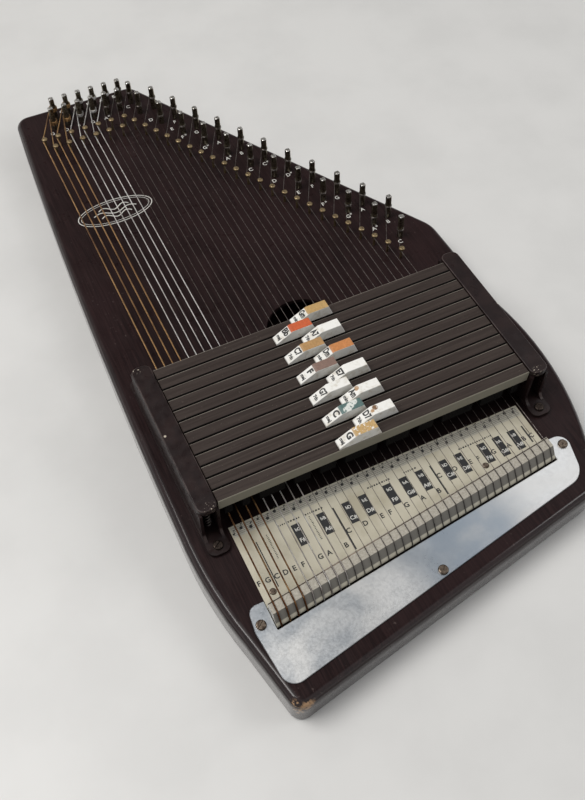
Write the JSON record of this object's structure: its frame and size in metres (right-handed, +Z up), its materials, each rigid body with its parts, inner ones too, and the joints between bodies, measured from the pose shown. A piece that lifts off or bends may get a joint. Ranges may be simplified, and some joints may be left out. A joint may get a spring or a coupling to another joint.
{
  "type": "chorded zither",
  "caption": "Chorded zither with a flat dark-stained sound box, steel strings and a bank of sprung chord bars with coloured buttons.",
  "frame": {"origin": "middle of the flat back, on the surface that the instrument lies on", "axes": "+Z up; +Y along the strings towards the tuning pins; +X towards the short treble strings"},
  "size_m": [0.292, 0.5733, 0.071],
  "materials": {
    "stained_wood": "gloss",
    "raw_wood": "matte",
    "nickel_steel": "polished",
    "brass": "polished",
    "grey_composite": "satin",
    "printed_paper": "matte",
    "aluminium": "satin",
    "screw_steel": "polished",
    "bronze_wound_string": "satin",
    "nickel_wound_string": "satin",
    "string_steel": "polished",
    "brown_plastic": "satin",
    "spring_steel": "satin",
    "bar_hardwood": "satin",
    "felt": "matte",
    "button_tan": "satin",
    "button_red": "satin",
    "button_white": "satin",
    "button_orange": "satin",
    "button_brown": "satin",
    "button_green": "satin",
    "button_yellow": "satin"
  },
  "bodies": {
    "sound_box": {"anchor_cover": "aluminium", "back_panel": "stained_wood", "bar_holder_bass": "brown_plastic", "bar_holder_treble": "brown_plastic", "bar_springs": "spring_steel", "bass_rail": "stained_wood", "braces": "raw_wood", "bridge_block": "grey_composite", "chart_tacks": "screw_steel", "cover_screws": "screw_steel", "guide_pins": "brass", "hitch_pins": "nickel_steel", "holder_cap_bass": "brown_plastic", "holder_cap_treble": "brown_plastic", "holder_screws": "screw_steel", "note_chart": "printed_paper", "pin_block": "stained_wood", "soundboard": "stained_wood", "strings_bass_wound": "bronze_wound_string", "strings_mid_wound": "nickel_wound_string", "strings_plain": "string_steel", "tail_block": "stained_wood", "treble_rail": "stained_wood", "tuning_pins": "nickel_steel"},
    "chord_bar_01_g_minor": {"chord_bar_01_g_minor": "bar_hardwood", "chord_button_01_g_minor": "button_tan", "chord_felt_01_g_minor": "felt"},
    "chord_bar_02_b_flat_major": {"chord_bar_02_b_flat_major": "bar_hardwood", "chord_button_02_b_flat_major": "button_red", "chord_felt_02_b_flat_major": "felt"},
    "chord_bar_03_a_seventh": {"chord_bar_03_a_seventh": "bar_hardwood", "chord_button_03_a_seventh": "button_white", "chord_felt_03_a_seventh": "felt"},
    "chord_bar_04_c_seventh": {"chord_bar_04_c_seventh": "bar_hardwood", "chord_button_04_c_seventh": "button_tan", "chord_felt_04_c_seventh": "felt"},
    "chord_bar_05_d_minor": {"chord_bar_05_d_minor": "bar_hardwood", "chord_button_05_d_minor": "button_orange", "chord_felt_05_d_minor": "felt"},
    "chord_bar_06_f_major": {"chord_bar_06_f_major": "bar_hardwood", "chord_button_06_f_major": "button_brown", "chord_felt_06_f_major": "felt"},
    "chord_bar_07_e_seventh": {"chord_bar_07_e_seventh": "bar_hardwood", "chord_button_07_e_seventh": "button_white", "chord_felt_07_e_seventh": "felt"},
    "chord_bar_08_g_seventh": {"chord_bar_08_g_seventh": "bar_hardwood", "chord_button_08_g_seventh": "button_white", "chord_felt_08_g_seventh": "felt"},
    "chord_bar_09_a_minor": {"chord_bar_09_a_minor": "bar_hardwood", "chord_button_09_a_minor": "button_white", "chord_felt_09_a_minor": "felt"},
    "chord_bar_10_c_major": {"chord_bar_10_c_major": "bar_hardwood", "chord_button_10_c_major": "button_green", "chord_felt_10_c_major": "felt"},
    "chord_bar_11_d_seventh": {"chord_bar_11_d_seventh": "bar_hardwood", "chord_button_11_d_seventh": "button_white", "chord_felt_11_d_seventh": "felt"},
    "chord_bar_12_g_major": {"chord_bar_12_g_major": "bar_hardwood", "chord_button_12_g_major": "button_yellow", "chord_felt_12_g_major": "felt"}
  },
  "joints": [
    {"name": "press_01_g_minor", "type": "slide", "parent": "sound_box", "child": "chord_bar_01_g_minor", "axis": [0, 0, -1], "range_m": [0, 0.004], "stiffness_N_per_m": 250, "springref_m": -0.004, "deforming": ["bar_springs"]},
    {"name": "press_02_b_flat_major", "type": "slide", "parent": "sound_box", "child": "chord_bar_02_b_flat_major", "axis": [0, 0, -1], "range_m": [0, 0.004], "stiffness_N_per_m": 250, "springref_m": -0.004, "deforming": ["bar_springs"]},
    {"name": "press_03_a_seventh", "type": "slide", "parent": "sound_box", "child": "chord_bar_03_a_seventh", "axis": [0, 0, -1], "range_m": [0, 0.004], "stiffness_N_per_m": 250, "springref_m": -0.004, "deforming": ["bar_springs"]},
    {"name": "press_04_c_seventh", "type": "slide", "parent": "sound_box", "child": "chord_bar_04_c_seventh", "axis": [0, 0, -1], "range_m": [0, 0.004], "stiffness_N_per_m": 250, "springref_m": -0.004, "deforming": ["bar_springs"]},
    {"name": "press_05_d_minor", "type": "slide", "parent": "sound_box", "child": "chord_bar_05_d_minor", "axis": [0, 0, -1], "range_m": [0, 0.004], "stiffness_N_per_m": 250, "springref_m": -0.004, "deforming": ["bar_springs"]},
    {"name": "press_06_f_major", "type": "slide", "parent": "sound_box", "child": "chord_bar_06_f_major", "axis": [0, 0, -1], "range_m": [0, 0.004], "stiffness_N_per_m": 250, "springref_m": -0.004, "deforming": ["bar_springs"]},
    {"name": "press_07_e_seventh", "type": "slide", "parent": "sound_box", "child": "chord_bar_07_e_seventh", "axis": [0, 0, -1], "range_m": [0, 0.004], "stiffness_N_per_m": 250, "springref_m": -0.004, "deforming": ["bar_springs"]},
    {"name": "press_08_g_seventh", "type": "slide", "parent": "sound_box", "child": "chord_bar_08_g_seventh", "axis": [0, 0, -1], "range_m": [0, 0.004], "stiffness_N_per_m": 250, "springref_m": -0.004, "deforming": ["bar_springs"]},
    {"name": "press_09_a_minor", "type": "slide", "parent": "sound_box", "child": "chord_bar_09_a_minor", "axis": [0, 0, -1], "range_m": [0, 0.004], "stiffness_N_per_m": 250, "springref_m": -0.004, "deforming": ["bar_springs"]},
    {"name": "press_10_c_major", "type": "slide", "parent": "sound_box", "child": "chord_bar_10_c_major", "axis": [0, 0, -1], "range_m": [0, 0.004], "stiffness_N_per_m": 250, "springref_m": -0.004, "deforming": ["bar_springs"]},
    {"name": "press_11_d_seventh", "type": "slide", "parent": "sound_box", "child": "chord_bar_11_d_seventh", "axis": [0, 0, -1], "range_m": [0, 0.004], "stiffness_N_per_m": 250, "springref_m": -0.004, "deforming": ["bar_springs"]},
    {"name": "press_12_g_major", "type": "slide", "parent": "sound_box", "child": "chord_bar_12_g_major", "axis": [0, 0, -1], "range_m": [0, 0.004], "stiffness_N_per_m": 250, "springref_m": -0.004, "deforming": ["bar_springs"]}
  ]
}
